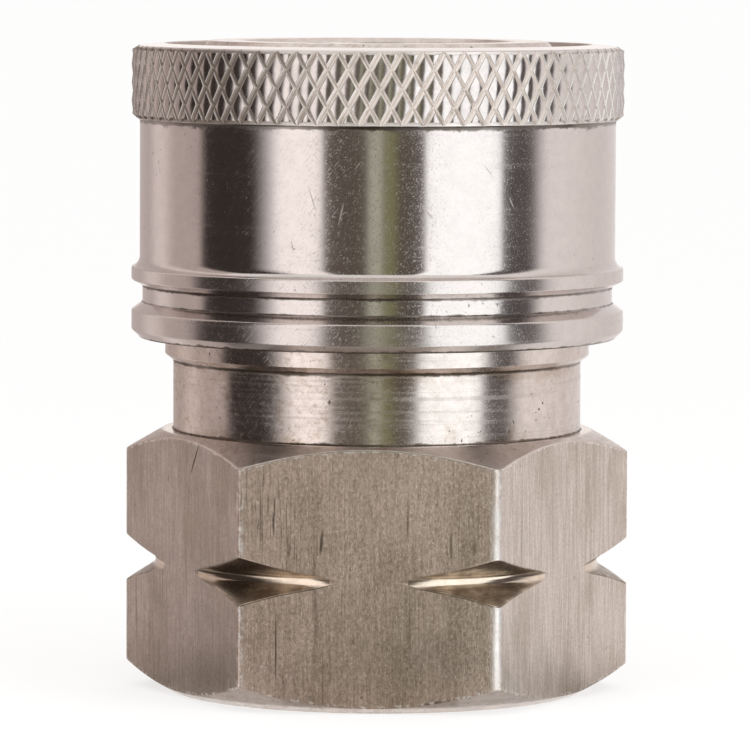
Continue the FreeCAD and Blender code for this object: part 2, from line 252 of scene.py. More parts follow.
def crisp_normals(bm):
    """A normal for each face corner that keeps to the largest faces meeting smoothly there."""
    areas = {face: face.calc_area() / MM**2 for face in bm.faces}
    normals = []
    for face in bm.faces:
        for vert in face.verts:
            around = vert.link_faces
            shared = (near for near in around if near.normal.dot(face.normal) > SMOOTH_LIMIT)
            normal = sum((near.normal * areas[near] for near in shared), Vector())
            normals.append(normal.normalized())
    return normals


def linked(name, bm, materials=()):
    """A new object in the scene from a bmesh, which is freed."""
    mesh = bpy.data.meshes.new(name)
    bm.to_mesh(mesh)
    bm.free()
    for material in materials:
        mesh.materials.append(material)
    piece = bpy.data.objects.new(name, mesh)
    bpy.context.scene.collection.objects.link(piece)
    return piece


def finished(name, bm, materials, body, replaced):
    """A shown piece from a bmesh, set on its CAD body in place of a node."""
    bmesh.ops.recalc_face_normals(bm, faces=bm.faces)
    for face in bm.faces:
        face.smooth = True
    normals = crisp_normals(bm)
    piece = linked(name, bm, materials)
    piece.data.normals_split_custom_set(normals)
    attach(piece, body)
    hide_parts(replaced)
    return piece


def wire_of(bm, points, closed=False):
    """A wire through (radius, height) points in the XZ plane, as geometry to spin."""
    verts = [bm.verts.new((radius, 0.0, height)) for radius, height in points]
    first = 0 if closed else 1
    return verts + [bm.edges.new((verts[n - 1], verts[n])) for n in range(first, len(verts))]


def whole(bm):
    return bm.verts[:] + bm.edges[:] + bm.faces[:]


def spin(bm, geom, sweep, steps, **options):
    """Turns geometry about Z, unless the options name another axis."""
    about = {"cent": (0, 0, 0), "axis": (0, 0, 1), **options}
    bmesh.ops.spin(bm, geom=geom, angle=sweep, steps=steps, **about)


def repeat_around(bm, count):
    """Copies the whole bmesh to a number of places around Z."""
    spin(bm, whole(bm), math.tau * (count - 1) / count, count - 1, use_duplicate=True)


def rings_at(bm, corners):
    """The round edges that run through the given (radius, height) corners."""

    def at(vert, corner):
        radius, height = corner
        across = math.hypot(vert.co.x, vert.co.y)
        return abs(across - radius) < SAME_RING and abs(vert.co.z - height) < SAME_RING

    return [
        edge
        for edge in bm.edges
        if any(all(at(vert, corner) for vert in edge.verts) for corner in corners)
    ]


def sharp_edges(edges, limit):
    """The edges whose faces meet at more than a limit in radians."""
    return [edge for edge in edges if edge.is_manifold and edge.calc_face_angle() > limit]


def break_edges(bm, edges, offset, segments=3):
    bmesh.ops.bevel(
        bm,
        geom=edges,
        offset=offset,
        offset_type="OFFSET",
        affect="EDGES",
        segments=segments,
        profile=0.5,
        material=-1,
        clamp_overlap=True,
    )


# Finishes


# Colours of wear and soiling, and of painted light and shade
# Painted light on the knurl's groove flanks
PAINTED_FLANK_LIGHT = (0.97, 0.92, 0.88)
# Darker tone for the knurl's left end and side grooves
DARK_SIDE_TONE = (0.24, 0.18, 0.14)
SMEAR = (0.40, 0.31, 0.24)
RUST = (0.36, 0.25, 0.16)
# Soiling and painted shade on the marking groove's flanks
BROWN = (0.14, 0.10, 0.07)
FRONT_FLAT = (0.84, 0.68, 0.585)
# Painted light on the hexagon's right flat
LIT_RIGHT_FLAT = (0.85, 0.755, 0.69)
STAIN = (0.40, 0.32, 0.235)
# Painted glints on the hexagon's flats
PAINTED_GLINT = (0.88, 0.79, 0.70)
# Worn corners, partly painted highlight
CORNER_WEAR_AND_HIGHLIGHT = (0.86, 0.80, 0.76)
BURR = (0.97, 0.93, 0.89)
# Painted highlight on one corner
PAINTED_CORNER_HIGHLIGHT = (0.93, 0.88, 0.85)


def tint(rgb, factor=1.0):
    return (rgb[0] * factor, rgb[1] * factor, rgb[2] * factor, 1.0)


class Nodes:
    """A cleared node tree and short ways to add to it."""

    def __init__(self, owner):
        owner.use_nodes = True
        self.tree = owner.node_tree
        self.tree.nodes.clear()

    @cached_property
    def vector(self):
        return self.add("TexCoord").outputs["Object"]

    def give(self, socket, value):
        """Sets a socket to a value, or joins it to another socket or to a node's first output."""
        if isinstance(value, bpy.types.Node):
            value = value.outputs[0]
        if isinstance(value, bpy.types.NodeSocket):
            self.tree.links.new(value, socket)
        else:
            socket.default_value = value

    def add(self, kind, inputs=None, **options):
        node = self.tree.nodes.new(f"ShaderNode{kind}")
        for key, value in options.items():
            setattr(node, key, value)
        for key, value in (inputs or {}).items():
            self.give(node.inputs[key], value)
        return node

    def maths(self, operation, first, second=0.0):
        return self.add("Math", {0: first, 1: second}, operation=operation).outputs[0]

    def plus(self, first, second):
        return self.maths("ADD", first, second)

    def minus(self, first, second):
        return self.maths("SUBTRACT", first, second)

    def times(self, first, second):
        return self.maths("MULTIPLY", first, second)

    def most(self, first, *others):
        for other in others:
            first = self.maths("MAXIMUM", first, other)
        return first

    def distance(self, value, middle):
        return self.maths("ABSOLUTE", self.minus(value, middle))

    def ramp(self, value, low, high, start=0.0, end=1.0):
        ends = {"From Min": low, "From Max": high, "To Min": start, "To Max": end}
        node = self.add("MapRange", {"Value": value, **ends}, interpolation_type="SMOOTHSTEP")
        return node.outputs["Result"]

    def band(self, value, middle, half_width, soft):
        """One inside a band of values, falling to nothing over its soft edge."""
        away = self.distance(value, middle)
        return self.ramp(away, half_width, half_width + soft, 1.0, 0.0)

    def mixed(self, share, first, second):
        return self.add("Mix", {0: share, 6: first, 7: second}, data_type="RGBA").outputs[2]

    def axis(self, name):
        return self.add("SeparateXYZ", {"Vector": self.vector}).outputs[name]

    def size_of(self, vector):
        return self.add("VectorMath", {0: vector}, operation="LENGTH").outputs["Value"]

    def radius(self):
        flat = {0: self.vector, 1: (1.0, 1.0, 0.0)}
        return self.size_of(self.add("VectorMath", flat, operation="MULTIPLY"))

    def mapped(self, vector, **places):
        return self.add("Mapping", {"Vector": vector, **places}, vector_type="TEXTURE")

    def grain(
        self, across, along=None, turn=(0, 0, 0), detail=3.0, roughness=0.55, vector=None
    ):
        """Noise by its features per metre across the axis, and along it where they differ."""
        sizes = (1.0 / across, 1.0 / across, 1.0 / (along or across))
        mapped = self.mapped(vector or self.vector, Rotation=turn, Scale=sizes)
        look = {"Scale": 1.0, "Detail": detail, "Roughness": roughness}
        return self.add("TexNoise", {"Vector": mapped, **look}).outputs["Fac"]

    def lathe_lines(self, per_metre, detail):
        """Fine rings around the axis, on flat ends and chamfers too."""
        along = self.plus(self.axis("Z"), self.radius())
        parts = {"X": self.axis("X"), "Y": self.axis("Y"), "Z": along}
        turned = self.add("CombineXYZ", parts).outputs[0]
        return self.grain(60, per_metre, detail=detail, vector=turned)

    def flecks(self, turn, share, along, across):
        """Short thin marks in one direction, the more of them the larger the share."""
        marks = self.grain(across, along, turn, detail=2.0)
        return self.ramp(marks, 0.68 - share, 0.84 - share)

    def crossed_flecks(self):
        """The fine marks of polishing, slanting both ways."""
        one_way = self.flecks((0.3, 0.65, 0.0), 0.12, 1500, 16000)
        return self.most(one_way, self.flecks((-0.4, -0.8, 0.0), 0.10, 1900, 15000))

    def pitted(self, patch):
        """Small dark pits that keep together in patches, the fewer the higher the patch value."""
        pits = self.ramp(self.grain(3600, detail=2.0), 0.67, 0.73)
        patches = self.ramp(self.grain(190, detail=1.0), patch, patch + 0.15)
        return self.times(pits, patches)

    def stroke(self, start, end, half_width):
        """One thin mark between two points in millimetres."""
        first, last = Vector(start) * MM, Vector(end) * MM
        wide = half_width * MM
        mapped = self.mapped(
            self.vector,
            Location=(first + last) / 2,
            Rotation=tuple((last - first).to_track_quat("Z", "Y").to_euler()),
            Scale=(wide, wide, (last - first).length / 2),
        )
        return self.ramp(self.size_of(mapped), 0.3, 1.0, 1.0, 0.0)

    def crease_dirt_and_shade(self, dirt_and_shade, creases):
        """Adds ragged dark rings along creases, partly soiling and partly painted shade, each given
        by radius, height, half width and soft edge.
        """
        noise = self.grain(1100, 1500, detail=5.0, roughness=0.7)
        ragged = self.ramp(noise, 0.3, 0.7, 1.7, 0.6)
        faint = self.ramp(self.grain(160, 400), 0.35, 0.6, 0.55, 0.95)
        radius, height = self.radius(), self.axis("Z")
        for ring_radius, ring_height, half_width, soft in creases:
            apart = {"X": self.minus(radius, ring_radius), "Y": self.minus(height, ring_height)}
            away = self.times(self.size_of(self.add("CombineXYZ", apart)), ragged)
            line = self.ramp(away, half_width, half_width + soft, 1.0, 0.0)
            dirt_and_shade = self.most(dirt_and_shade, self.times(line, faint))
        return dirt_and_shade

    def seen_directly(self):
        """One where the camera, a mirror or glass sees the surface."""
        path = self.add("LightPath").outputs
        return self.most(*(path[f"Is {ray} Ray"] for ray in ("Camera", "Glossy", "Transmission")))


class Skin(Nodes):
    """A finish whose colour and gloss are built up in layers."""

    def __init__(self, name):
        self.material = bpy.data.materials.new(name)
        super().__init__(self.material)
        self.shader = self.add("BsdfPrincipled")
        self.add("OutputMaterial", {"Surface": self.shader})

    def paint(self, share, rgb, factor=1.0):
        """Lays a colour over the base by its share."""
        self.base = self.mixed(share, self.base, tint(rgb, factor))

    def dull(self, *amounts):
        for amount in amounts:
            self.gloss = self.plus(self.gloss, amount)

    def done(self, relief, depth):
        """The material, with a relief whose height is its depth in metres."""
        bump = self.add("Bump", {"Height": relief, "Distance": depth})
        layers = {"Base Color": self.base, "Roughness": self.gloss, "Normal": bump}
        for key, value in layers.items():
            self.give(self.shader.inputs[key], value)
        return self.material


class Steel(Skin):
    """Mottled steel, by what its worn spots keep of the colour and by its range of roughness."""

    def __init__(self, name, rgb, worn, roughness):
        super().__init__(name)
        self.shader.inputs["Metallic"].default_value = 1.0
        mottle = self.grain(1300, 1500, detail=6.0, roughness=0.72)
        self.base = self.mixed(self.ramp(mottle, 0.36, 0.64), tint(rgb, worn), tint(rgb))
        cloud = self.grain(260, detail=5.0)
        self.gloss = self.ramp(cloud, 0.25, 0.75, *roughness)


# Scratches on the sleeve: start and end in millimetres, half width
SLEEVE_SCRATCHES = (
    ((-1.30, -12.985, 27.6), (-1.70, -12.94, 25.9), 0.06),
    ((-3.35, -12.61, 28.4), (-2.75, -12.757, 26.6), 0.06),
    ((2.7, -12.768, 27.2), (3.5, -12.572, 26.3), 0.06),
    ((-4.2, -12.356, 25.4), (-4.0, -12.422, 24.6), 0.05),
    ((5.9, -11.641, 29.4), (6.5, -11.316, 28.6), 0.06),
    ((7.3, -10.818, 27.6), (7.6, -10.609, 26.9), 0.05),
    ((-0.4, -13.044, 29.6), (-0.9, -13.019, 28.9), 0.05),
)
SCRATCH_DULLING = 0.25
# Roughness where pits, soiling and painted shade lie
DIRT_AND_SHADE_DULLING = 0.3


def polished_steel(rgb, grime_and_shade, size, creases):
    """The sleeve: polished, with slanting marks, a few pits and painted shadow lines in its
    creases.
    """
    skin = Steel("polished_sleeve_steel", rgb, 0.94, (0.10, 0.15))
    ramp, times = skin.ramp, skin.times
    lines = skin.lathe_lines(5200, 3.0)
    # Pits, and painted shadow lines along the sleeve's creases
    dirt_and_shade = skin.crease_dirt_and_shade(times(skin.pitted(0.47), 0.5), creases)
    skin.paint(dirt_and_shade, grime_and_shade)
    ridge = size.barrel_radius + 0.3 * MM
    side = skin.axis("X")
    # Fainter marks at the left and at the far right
    left, right = ramp(side, -7 * MM, -2 * MM, 0.11, 0.22), ramp(side, 4 * MM, 8 * MM, 1.0, 0.7)
    skin.dull(
        times(skin.crossed_flecks(), times(left, right)),
        *(times(skin.stroke(*mark), SCRATCH_DULLING) for mark in SLEEVE_SCRATCHES),
        ramp(lines, 0.5, 0.72, 0.0, 0.05),
        ramp(skin.radius(), ridge, ridge + 0.1 * MM, 0.0, 0.07),
        times(dirt_and_shade, DIRT_AND_SHADE_DULLING),
    )
    return skin.done(skin.minus(times(lines, 0.2), dirt_and_shade), 3e-6)


def knurled_steel(rgb, grime_and_shade, knurl):
    """The rolled diamonds: uneven flats, groove flanks painted lighter as painted light, and old
    oil towards the bottom of the grooves.
    """
    skin = Steel("knurled_steel", rgb, 0.88, (0.15, 0.23))
    ramp, times = skin.ramp, skin.times
    low = knurl.radius - knurl.depth
    flank = ramp(skin.radius(), low + 0.45 * knurl.depth, low + 0.8 * knurl.depth, 1.0, 0.0)
    # Painted light: the groove flanks are tinted lighter against the shade inside the grooves
    skin.paint(times(flank, 0.9), PAINTED_FLANK_LIGHT)
    oil = ramp(skin.grain(900, detail=4.0), 0.5, 0.7, 0.0, 0.25)
    skin.paint(times(oil, flank), grime_and_shade, 4.0)
    side = skin.axis("X")
    # Darker tone over the left end, and in the grooves at both sides
    at_left = ramp(side, -0.9 * knurl.radius, -0.4 * knurl.radius, 0.36, 0.0)
    left, right = ramp(side, -9 * MM, -1 * MM, 0.8, 0.0), ramp(side, 8 * MM, 12 * MM, 0.0, 0.3)
    side_darkening = skin.most(at_left, times(flank, skin.most(left, right)))
    skin.paint(side_darkening, DARK_SIDE_TONE)
    skin.dull(times(flank, 0.2))
    skin.give(skin.shader.inputs["Metallic"], ramp(flank, 0.0, 1.0, 1.0, 0.55))
    return skin.done(skin.grain(1000, 700, detail=2.0), 1.4e-5)


def turned_steel(rgb, grime_and_shade, name, creases):
    """The body where it was turned: fine rings, patches of pits, and soiling with painted shade in
    the creases.
    """
    skin = Steel(name, rgb, 0.86, (0.13, 0.21))
    grain, ramp, times = skin.grain, skin.ramp, skin.times
    lines = skin.lathe_lines(6200, 4.0)
    skin.paint(ramp(lines, 0.52, 0.72, 0.0, 0.25), rgb, 0.55)
    # Brown smears, thinned out towards the right where the highlight falls, so that side is painted
    # lighter
    smears = grain(1700, 2600, (0.3, 0.5, 0.0), detail=5.0, roughness=0.75)
    side = skin.axis("X")
    smeared = times(ramp(smears, 0.48, 0.68, 0.0, 0.6), ramp(side, 0.0, 3 * MM, 1.0, 0.35))
    skin.paint(smeared, SMEAR)
    near = [(radius, height, 0.0, 0.9 * MM) for radius, height, _, _ in creases]
    patches = ramp(grain(420, 700, detail=4.0), 0.44, 0.62, 0.0, 0.6)
    spots = ramp(grain(420, 600, detail=4.0), 0.62, 0.74, 0.0, 0.5)
    rust = skin.most(spots, times(skin.crease_dirt_and_shade(0.0, near), patches))
    # Darker and rust-coloured towards the far left side
    side_darkening = ramp(side, -11 * MM, -8 * MM, 0.35, 0.0)
    skin.paint(skin.most(rust, side_darkening), RUST)
    # Pits, and rings of soiling and painted shade in the neck's creases
    dirt_and_shade = skin.crease_dirt_and_shade(times(skin.pitted(0.40), 0.85), creases)
    skin.paint(dirt_and_shade, grime_and_shade)
    skin.dull(
        times(skin.crossed_flecks(), 0.15),
        ramp(lines, 0.46, 0.68, 0.0, 0.10),
        ramp(skin.radius(), 11.75 * MM, 11.95 * MM, 0.0, 0.14),
        times(dirt_and_shade, DIRT_AND_SHADE_DULLING),
    )
    return skin.done(skin.minus(times(lines, 0.4), dirt_and_shade), 4e-6)


def groove_steel(rgb, size):
    """The marking groove: a bright root between brown flanks, darkened partly as soiling and partly
    as painted shade.
    """
    skin = Steel("marking_groove_steel", rgb, 0.85, (0.12, 0.20))
    flanks = skin.distance(skin.axis("Z"), size.mark_height)
    patchy = skin.ramp(skin.grain(1200, 2600, detail=5.0), 0.3, 0.65, 0.55, 1.0)
    # Painted shade with patchy soiling: the flanks turn brown away from the root
    brown = skin.times(skin.ramp(flanks, 0.14 * MM, 0.40 * MM, 0.0, 0.85), patchy)
    skin.paint(brown, BROWN)
    skin.dull(skin.times(brown, 0.2))
    return skin.done(skin.grain(90, 6000), 2e-6)


# Marks that the hexagon has picked up: start and end in millimetres, half width, strength
HEXAGON_MARKS = (
    ((-9.16, -8.14, 14.45), (-9.93, -6.81, 11.95), 0.09, 1.0),
    ((-4.93, -12.0, 6.4), (-4.93, -12.0, 0.8), 0.08, 0.75),
    ((-2.45, -12.0, 10.2), (-2.6, -12.0, 8.2), 0.12, 0.8),
    ((-5.75, -12.0, 12.6), (-5.75, -12.0, 8.4), 0.09, 0.55),
    ((-4.3, -12.0, 10.4), (-4.3, -12.0, 8.0), 0.07, 0.45),
    ((4.35, -12.0, 10.2), (4.35, -12.0, 8.0), 0.12, 0.5),
    ((2.1, -12.0, 11.8), (2.0, -12.0, 9.0), 0.10, 0.45),
    ((5.6, -12.0, 9.6), (5.6, -12.0, 8.4), 0.16, 0.4),
    ((2.4, -12.0, 0.5), (4.4, -12.0, 0.8), 0.16, 0.6),
    ((0.4, -12.0, 2.6), (6.6, -12.0, 3.4), 2.4, 0.2),
)
SCUFFED_PATCH = ((-6.4, -12.0, 14.2), (-3.8, -12.0, 6.4), 2.3)
# Painted highlight along the front right corner: start and end in millimetres, half width
CORNER_HIGHLIGHT_STROKE = ((6.72, -11.72, -6.0), (6.72, -11.72, 20.0), 0.5)


def drawn_steel(rgb, grime_and_shade, size):
    """The hexagon's flats: dull drawn bar with streaks, flecks, stains, marks, worn corners partly
    painted as highlights, painted glints and a painted corner highlight.
    """
    skin = Steel("drawn_hexagon_steel", rgb, 0.86, (0.33, 0.42))
    grain, ramp, minus, times, most = skin.grain, skin.ramp, skin.minus, skin.times, skin.most
    around = skin.add("Tangent", direction_type="RADIAL", axis="Z")
    skin.give(skin.shader.inputs["Tangent"], around)
    skin.shader.inputs["Anisotropic"].default_value = 0.7
    bright = most(
        skin.flecks((0.0, 0.0, 0.0), 0.13, 3200, 17000),
        skin.flecks((0.2, 0.5, 0.1), 0.11, 5000, 15000),
    )
    # The front flat is warmer, and the right flat is painted lighter as painted light
    front = ramp(skin.axis("Y"), -0.499 * size.hex_flats, -0.48 * size.hex_flats, 1.0, 0.0)
    skin.paint(front, FRONT_FLAT)
    skin.paint(ramp(skin.axis("X"), 6.7 * MM, 7.3 * MM), LIT_RIGHT_FLAT)
    # Stains, streaks and grit
    stain = ramp(grain(320, 150, detail=4.0), 0.42, 0.7, 0.0, 0.45)
    skin.paint(stain, STAIN)
    streaks = grain(7500, 300, detail=4.0, roughness=0.65)
    skin.paint(ramp(streaks, 0.3, 0.7, 0.36, 0.0), grime_and_shade, 3.0)
    grit = grain(9500, 6500, detail=2.0, roughness=0.7)
    skin.paint(ramp(grit, 0.36, 0.62, 0.22, 0.0), grime_and_shade, 3.5)
    coarse = grain(6800, 4400, detail=3.0, roughness=0.75)
    skin.paint(times(ramp(coarse, 0.36, 0.56, 0.34, 0.0), front), grime_and_shade, 3.0)
    # Light specks on the front flat as painted glints, with lighter polishing flecks
    glint_specks = times(ramp(coarse, 0.58, 0.68, 0.0, 0.5), front)
    skin.paint(most(glint_specks, times(bright, 0.3)), PAINTED_GLINT)
    # Dark marks
    long_marks = ramp(grain(1900, 90, detail=2.0), 0.62, 0.78, 0.0, 0.4)
    pits = ramp(grain(3300, 1900, detail=2.0), 0.71, 0.76)
    scuffs = ramp(grain(7000, 420, detail=3.0), 0.53, 0.66, 0.0, 0.8)
    marks = [times(skin.stroke(*mark), strength) for *mark, strength in HEXAGON_MARKS]
    scuffed = times(scuffs, skin.stroke(*SCUFFED_PATCH))
    dark = most(long_marks, times(pits, 0.4), scuffed, *marks)
    skin.paint(dark, grime_and_shade, 1.3)
    # Bright wear on the corners, partly painted highlight, burrs along the chamfers' arcs and a
    # painted highlight along one corner
    reach, height = skin.radius(), skin.axis("Z")
    corner = size.hex_flats / math.sqrt(3)
    spots = ramp(grain(4200, 2600, detail=3.0), 0.48, 0.62, 0.05, 1.0)
    wear_and_highlight = times(ramp(reach, corner - 0.18 * MM, corner - 0.06 * MM), spots)
    skin.paint(wear_and_highlight, CORNER_WEAR_AND_HIGHLIGHT)
    slope = math.tan(size.chamfer_angle)
    above = times(minus(reach, size.top_land), slope)
    below = times(minus(reach, size.bottom_land), slope)
    to_top = minus(minus(size.hex_height, height), above)
    to_arc = skin.maths("MINIMUM", to_top, minus(height, below))
    burrs = ramp(grain(3600, detail=3.0), 0.52, 0.6, 0.0, 0.9)
    skin.paint(times(burrs, ramp(to_arc, 0.06 * MM, 0.20 * MM, 1.0, 0.0)), BURR)
    # The painted highlight along the front right corner
    ragged = ramp(grain(1800, 800, detail=4.0), 0.36, 0.58, 0.3, 1.0)
    skin.paint(times(skin.stroke(*CORNER_HIGHLIGHT_STROKE), ragged), PAINTED_CORNER_HIGHLIGHT)
    skin.gloss = minus(skin.gloss, times(bright, 0.06))
    return skin.done(minus(skin.plus(streaks, times(bright, 0.7)), dark), 7e-6)


def plain_steel(name, rgb, roughness):
    skin = Steel(name, rgb, 0.85, roughness)
    return skin.done(skin.grain(1500, 2500, detail=4.0), 3e-6)


def seal_rubber(rgb):
    skin = Skin("seal_rubber_skin")
    cloud = skin.grain(500, detail=4.0)
    skin.base = skin.mixed(cloud, tint(rgb, 0.7), tint(rgb, 1.8))
    skin.gloss = skin.ramp(cloud, 0.3, 0.7, 0.42, 0.6)
    return skin.done(skin.grain(4000), 6e-6)


# Body


SECTOR = math.pi / 3
# How round wear has left each corner of the hexagon, from +X around
CORNER_WEAR = (1.0, 0.6, 0.8, 1.0, 0.35, 1.6)
BODY_COLUMNS = 6 * 44
COLUMN_CROWDING = 0.85
# Rows of the marking groove, as shares of its half width
GROOVE_STEPS = (0.75, 0.5, 0.32, 0.22, 0.15, 0.1, 0.05)
LEAST_GROOVE = 0.03 * MM
NOSE_CHAMFER = 0.25 * MM
THREAD_ROWS = 104
# Flat share of half a pitch at the crest and at the root, and the run-out in pitches
THREAD_FLAT = 0.12
THREAD_RUN_OUT = 1.5
# Points of an edge's round, and the most that it takes of the sides beside it
ROUND_POINTS = 4
ROUND_SHARE = 0.4
# Points of a ball seat's quarter circle, faces around a ball hole, reach past the barrel
SEAT_POINTS = 11
HOLE_STEPS = 40
CUTTER_REACH = 0.5 * MM
GROOVE_COLOUR = (0.78, 0.655, 0.53)
TURNED, DRAWN, MARK, BORE = range(4)


def hexagon_reach(theta, size):
    """Distance from the axis to the hexagon's side in one direction, corners rounded."""
    half = size.hex_flats / 2
    corner_round = size.corner_round * CORNER_WEAR[round(theta / SECTOR) % 6]
    away = abs(theta % SECTOR - SECTOR / 2)
    fillet_start = math.atan((half - corner_round) * math.tan(SECTOR / 2) / half)
    if away <= fillet_start:
        return half / math.cos(away)
    centre = (half - corner_round) / math.cos(SECTOR / 2)
    side = centre * math.sin(SECTOR / 2 - away)
    return centre * math.cos(SECTOR / 2 - away) + math.sqrt(corner_round**2 - side**2)


def clamped(value):
    return min(max(value, 0.0), 1.0)


def thread_wall(height, theta, size):
    """Radius of the tapped hole at a height, with its countersunk mouth and its run-out."""
    turn = (height / size.thread_pitch - theta / math.tau) % 1.0
    tooth = clamped((abs(2 * turn - 1) - THREAD_FLAT) / (1 - 2 * THREAD_FLAT))
    fade = clamped((size.thread_depth - height) / (THREAD_RUN_OUT * size.thread_pitch))
    wall = size.thread_minor + (size.thread_major - size.thread_minor) * tooth * fade
    return max(wall, size.thread_mouth - height)


def groove_round(size):
    """Half the width and the height of the round at the marking groove's root."""
    across, up = math.cos(size.mark_angle), 1 - math.sin(size.mark_angle)
    return size.mark_round * across, size.mark_round * up


def groove_half_width(depth, size):
    """Half the width of the marking groove at a depth above its root."""
    round_side, round_top = groove_round(size)
    if depth <= round_top:
        return math.sqrt(max(0.0, depth * (2 * size.mark_round - depth)))
    return round_side + (depth - round_top) * math.tan(size.mark_angle)


def groove_depth(away, size):
    """Height of the marking groove's wall above its root, away from its middle."""
    round_side, round_top = groove_round(size)
    if away <= round_side:
        return size.mark_round - math.sqrt(size.mark_round**2 - away**2)
    return round_top + (away - round_side) / math.tan(size.mark_angle)


def body_corners(theta, size):
    """The body's outline in one direction: (radius, height, edge break, finish of the next run)."""
    side = hexagon_reach(theta, size)
    slope = math.tan(size.chamfer_angle)
    mark_half = max(groove_half_width(max(side - size.mark_root, 0.0), size), LEAST_GROOVE)
    groove = []
    for share in (*(-share for share in GROOVE_STEPS), 0.0, *reversed(GROOVE_STEPS)):
        wall = min(side, size.mark_root + groove_depth(abs(share) * mark_half, size))
        groove.append((wall, size.mark_height + share * mark_half, 0.0, MARK))
    fine = size.edge_break
    top, nose = size.hex_height, size.nose
    hexagon = [
        (size.bottom_land, 0.0, fine, TURNED),
        (side, (side - size.bottom_land) * slope, fine, DRAWN),
        (side, size.mark_height - mark_half, fine, MARK),
        *groove,
        (side, size.mark_height + mark_half, fine, DRAWN),
        (side, top - (side - size.top_land) * slope, fine, TURNED),
    ]
    turned = (
        (size.top_land, top, fine),
        (size.neck_radius, top, fine),
        (size.neck_radius, size.neck_top, fine),
        (size.collar_radius, size.collar_bottom, fine),
        (size.collar_radius, size.collar_top, fine),
        (size.barrel_radius, size.collar_top, 0.0),
        (size.barrel_radius, size.ring_groove_bottom, 0.0),
        (size.ring_groove_radius, size.ring_groove_bottom, 0.0),
        (size.ring_groove_radius, size.ring_groove_top, 0.0),
        (size.barrel_radius, size.ring_groove_top, fine),
        (size.barrel_radius, nose - NOSE_CHAMFER, fine),
        (size.barrel_radius - NOSE_CHAMFER, nose, fine),
    )
    bored = [
        (size.guide_radius + NOSE_CHAMFER, nose, fine),
        (size.guide_radius, nose - NOSE_CHAMFER, fine),
        (size.guide_radius, size.guide_bottom, fine),
        (size.bore_radius, size.guide_bottom, fine),
        (size.bore_radius, size.seal_groove_top, fine),
        (size.seal_groove_radius, size.seal_groove_top, 0.0),
        (size.seal_groove_radius, size.seal_groove_bottom, 0.0),
        (size.bore_radius, size.seal_groove_bottom, fine),
        (size.bore_radius, size.plug_stop, 0.0),
        (size.waterway_radius, size.plug_stop, fine),
        (size.waterway_radius, size.drill_point, fine),
    ]
    for row in range(THREAD_ROWS + 1):
        height = size.thread_depth * (1 - row / THREAD_ROWS)
        bored.append((thread_wall(height, theta, size), height, 0.0))
    hexagon += [(*corner, TURNED) for corner in turned]
    return hexagon + [(*corner, BORE) for corner in bored]


def softened(corners):
    """The outline with broken edges drawn as small rounds, as (radius, height, finish) rows."""
    rows = []
    for n, (radius, height, edge_break, finish) in enumerate(corners):
        here = Vector((radius, height))
        if not edge_break:
            rows.append((radius, height, finish))
            continue
        before = Vector(corners[n - 1][:2]) - here
        after = Vector(corners[(n + 1) % len(corners)][:2]) - here
        reach = min(edge_break, ROUND_SHARE * before.length, ROUND_SHARE * after.length)
        start = here + before.normalized() * reach
        end = here + after.normalized() * reach
        for point in range(ROUND_POINTS):
            share = point / (ROUND_POINTS - 1)
            bend = start.lerp(here, share).lerp(here.lerp(end, share), share)
            rows.append((bend.x, bend.y, finish))
    return rows


def spread(theta):
    """Moves the columns of the skin towards the hexagon's corners, where it turns most."""
    share = (theta / SECTOR) % 1.0 - 0.5
    return theta + COLUMN_CROWDING * SECTOR / math.tau * math.sin(math.tau * share)


def ball_hole_cutter(size):
    """Radial holes with round inner seats, one for each ball."""
    bm = bmesh.new()
    middle, radius = size.ball_height, size.ball_radius
    outside = size.barrel_radius + CUTTER_REACH
    points = []
    for n in range(SEAT_POINTS):
        turn = math.pi - n * math.pi / 2 / (SEAT_POINTS - 1)
        across, up = math.cos(turn) * radius, math.sin(turn) * radius
        points.append((size.ball_centre + across, middle + up))
    points += [(outside, middle + radius), (outside, middle)]
    wire = wire_of(bm, points)
    spin(bm, wire, math.tau, HOLE_STEPS, cent=(0, 0, middle), axis=(1, 0, 0), use_merge=True)
    bmesh.ops.remove_doubles(bm, verts=bm.verts, dist=CUT_TOLERANCE)
    bmesh.ops.recalc_face_normals(bm, faces=bm.faces)
    repeat_around(bm, size.balls)
    return bm


def cut_away(bm, cutter, materials):
    """The bmesh with the cutter's shape cut out of it."""
    bmesh.ops.recalc_face_normals(bm, faces=bm.faces)
    uncut = linked("uncut", bm, materials)
    tool = linked("cutter", cutter)
    cut = uncut.modifiers.new("cut", "BOOLEAN")
    cut.operation = "DIFFERENCE"
    cut.solver = "EXACT"
    cut.object = tool
    rest = bmesh.new()
    rest.from_object(uncut, bpy.context.evaluated_depsgraph_get())
    for mesh in (uncut.data, tool.data):
        bpy.data.meshes.remove(mesh)
    return rest


